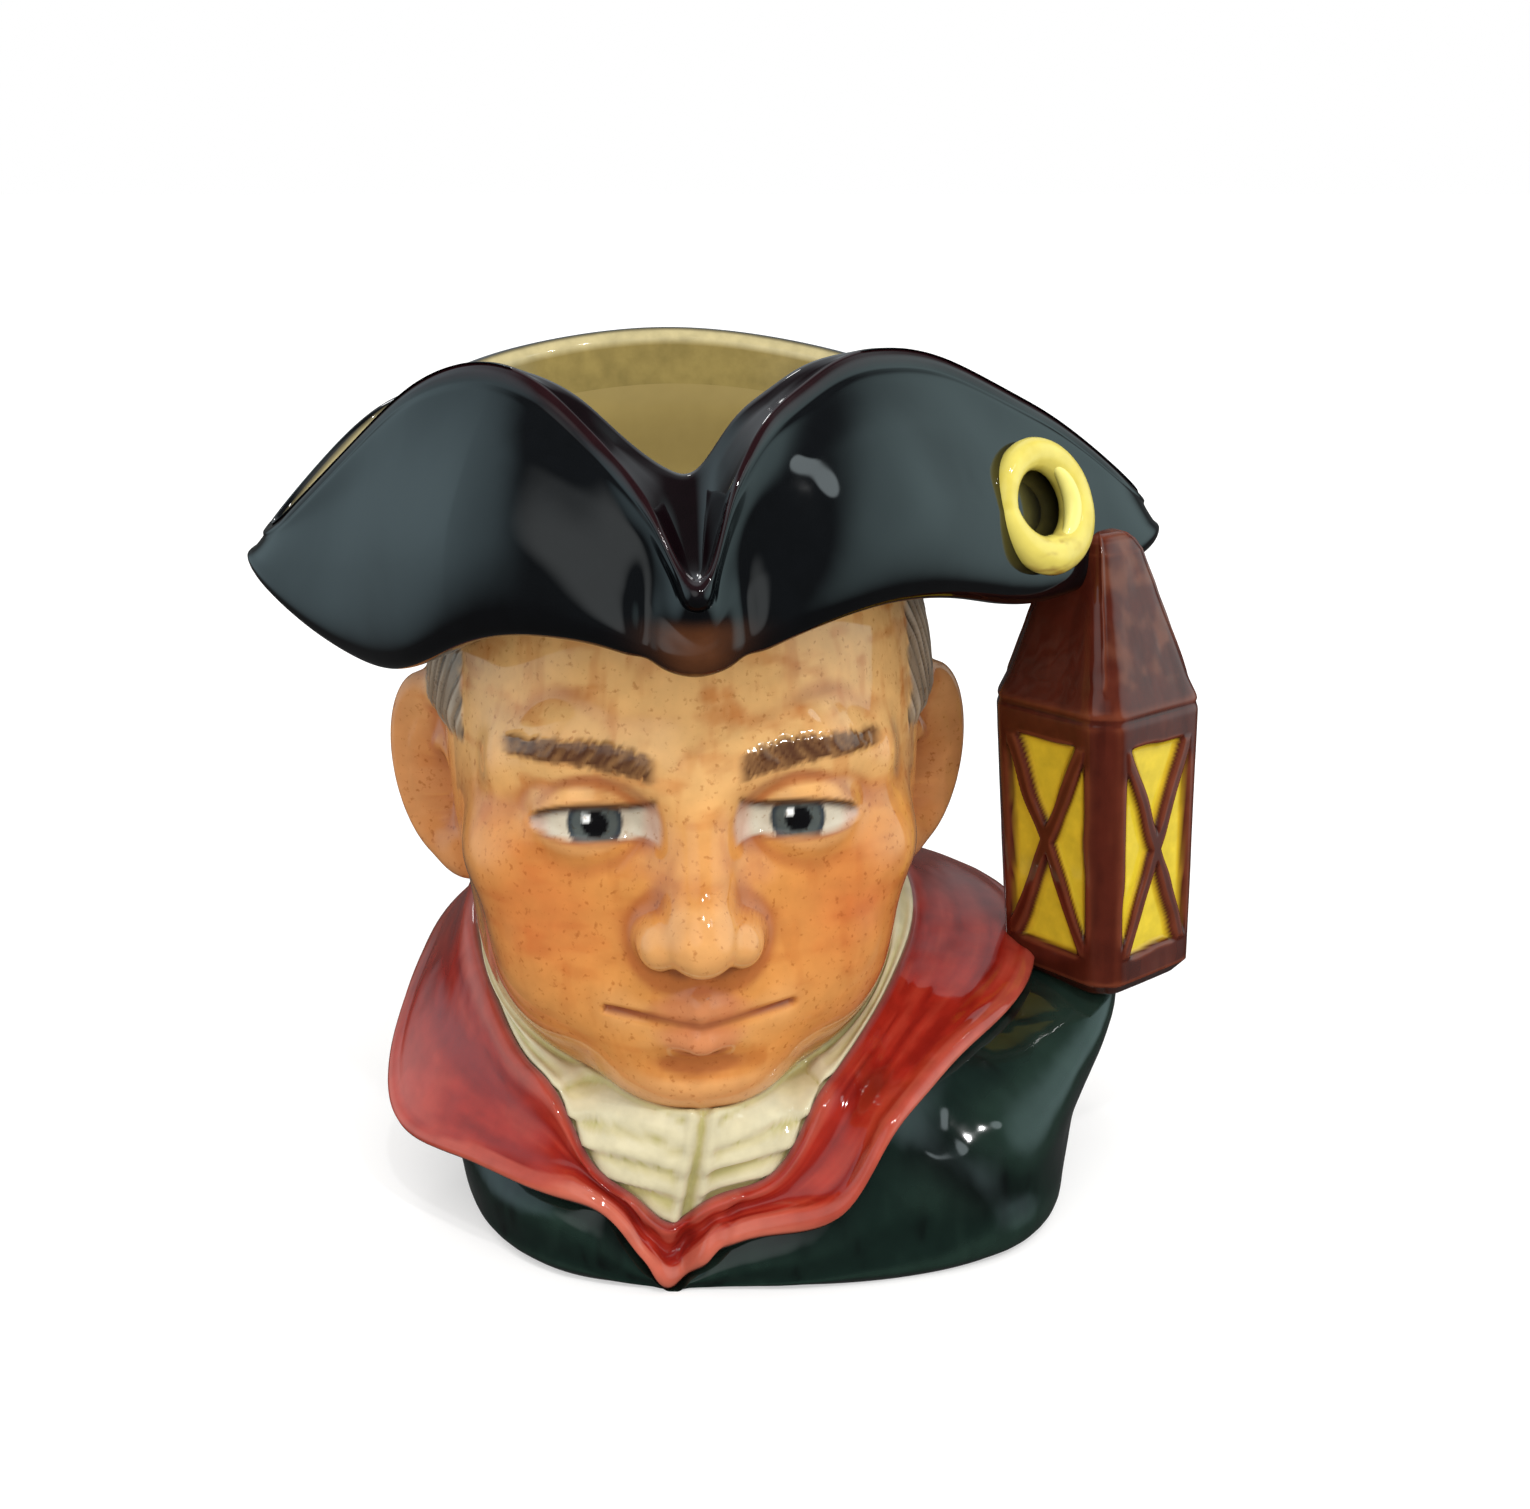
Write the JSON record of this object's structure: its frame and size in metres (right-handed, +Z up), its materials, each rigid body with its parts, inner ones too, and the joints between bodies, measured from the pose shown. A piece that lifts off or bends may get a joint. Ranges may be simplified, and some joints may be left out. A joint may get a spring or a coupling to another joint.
{
  "type": "character jug",
  "caption": "Hollow glazed pottery jug cast as a head in a three-cornered hat, open at the top, with a square lantern for its handle.",
  "frame": {"origin": "on the flat underside, below the axis of the head", "axes": "+Z up, -Y the way the face looks, +X towards the lantern handle"},
  "size_m": [0.11, 0.0821, 0.0977],
  "materials": {
    "glazed_clay": null
  },
  "bodies": {
    "root": {"jug": "glazed_clay"}
  },
  "joints": []
}
